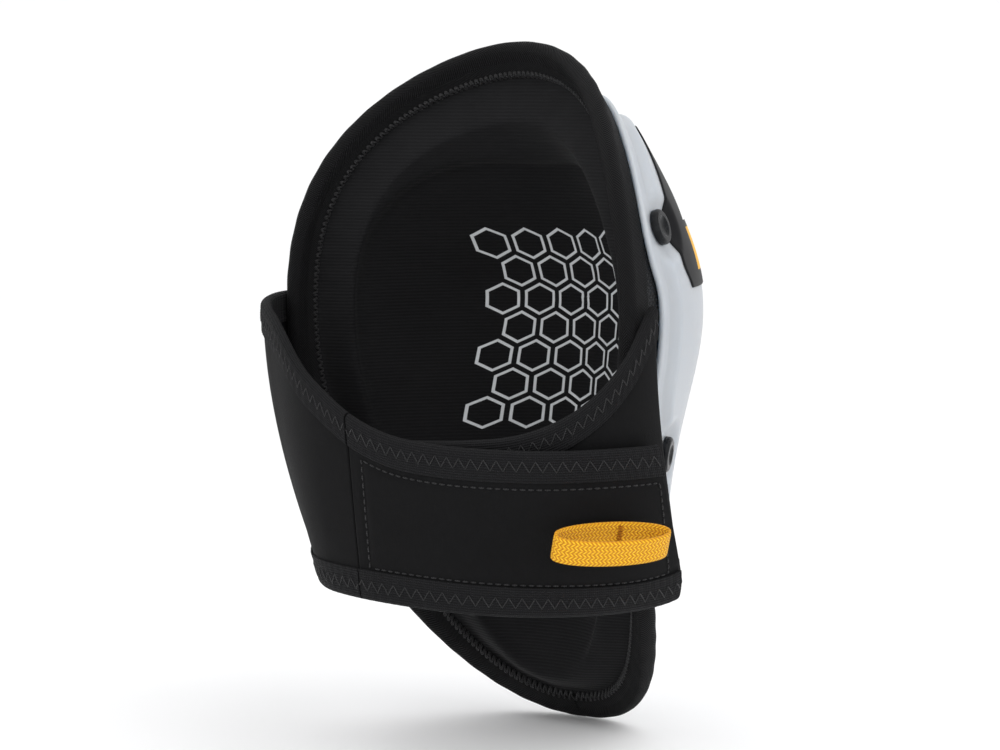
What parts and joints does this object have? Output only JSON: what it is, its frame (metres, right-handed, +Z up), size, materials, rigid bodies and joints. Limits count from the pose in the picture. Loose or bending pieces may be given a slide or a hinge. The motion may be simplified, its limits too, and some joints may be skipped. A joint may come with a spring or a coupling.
{
  "type": "knee pad",
  "caption": "Moulded foam knee pad with a milky hard cap riveted on, a fabric edge binding and a wrap strap closed behind the knee by a hook patch and pull loop.",
  "frame": {"origin": "centre of the bowl's mouth, midway between the rims of its two wings, where the wearer's knee sits", "axes": "+Z up the wearer's leg, +Y out of the bowl towards the back of the knee, so the hard cap faces -Y"},
  "size_m": [0.1801, 0.1528, 0.2593],
  "materials": {
    "nylon": "coarse woven nylon",
    "core_foam": "closed-cell foam",
    "soft_foam": "open-cell foam",
    "gel": "soft gel",
    "lining": "brushed knit with a printed outline pattern",
    "edge_tape": "herringbone tape",
    "cap_plastic": "milky, slightly see-through moulding",
    "label": "plain badge with one white and one yellow bar",
    "hook_plastic": "hook fastener",
    "webbing": "yellow woven webbing",
    "rivet_metal": "black glossy lacquer",
    "washer_metal": "plain",
    "strap_tape": "elastic tape with zigzag stitching",
    "strap_fabric": "smooth stretch fabric on thin foam"
  },
  "bodies": {
    "pad": {"outer_cover": "nylon", "foam_core": "core_foam", "comfort_foam": "soft_foam", "gel_pad": "gel", "inner_lining": "lining", "edge_binding": "edge_tape", "knee_cap": "cap_plastic", "cap_label": "label", "upper_left_rivet": "rivet_metal", "upper_left_washer": "washer_metal", "upper_right_rivet": "rivet_metal", "upper_right_washer": "washer_metal", "lower_left_rivet": "rivet_metal", "lower_left_washer": "washer_metal", "lower_right_rivet": "rivet_metal", "lower_right_washer": "washer_metal", "outer_strap_root": "strap_fabric", "under_strap_root": "strap_fabric"},
    "outer_strap": {"outer_strap_panel": "strap_fabric", "outer_strap_top_trim": "strap_tape", "outer_strap_low_trim": "strap_tape"},
    "closure_tab": {"closure_tab_panel": "strap_fabric", "closure_tab_top_trim": "strap_tape", "closure_tab_low_trim": "strap_tape", "hook_patch": "hook_plastic", "pull_loop_bar_tack": "webbing"},
    "pull_loop": {"pull_loop": "webbing"},
    "under_strap": {"under_strap_panel": "strap_fabric", "under_strap_top_trim": "strap_tape", "under_strap_low_trim": "strap_tape"}
  },
  "joints": [
    {"name": "outer_strap_swing", "type": "hinge", "parent": "pad", "child": "outer_strap", "pos_m": [0.08142, -0.0153, -0.048], "axis": [-0.1135, -0.3155, -0.9421], "range_deg": [0, 75]},
    {"name": "under_strap_swing", "type": "hinge", "parent": "pad", "child": "under_strap", "pos_m": [-0.08142, -0.0153, -0.048], "axis": [-0.1135, 0.3155, 0.9421], "range_deg": [0, 37.5]},
    {"name": "closure_tab_peel", "type": "hinge", "parent": "outer_strap", "child": "closure_tab", "pos_m": [0.00953, 0.04413, -0.069], "axis": [-0.016, -0.1145, -0.9933], "range_deg": [0, 75]},
    {"name": "pull_loop_flip", "type": "hinge", "parent": "closure_tab", "child": "pull_loop", "pos_m": [-0.07588, 0.01031, -0.0735], "axis": [0.5616, 0.8274, 0], "range_deg": [-12, 50]}
  ],
  "couplings": [
    {"joint": "under_strap_swing", "follows": "outer_strap_swing", "ratio": 0.5}
  ]
}
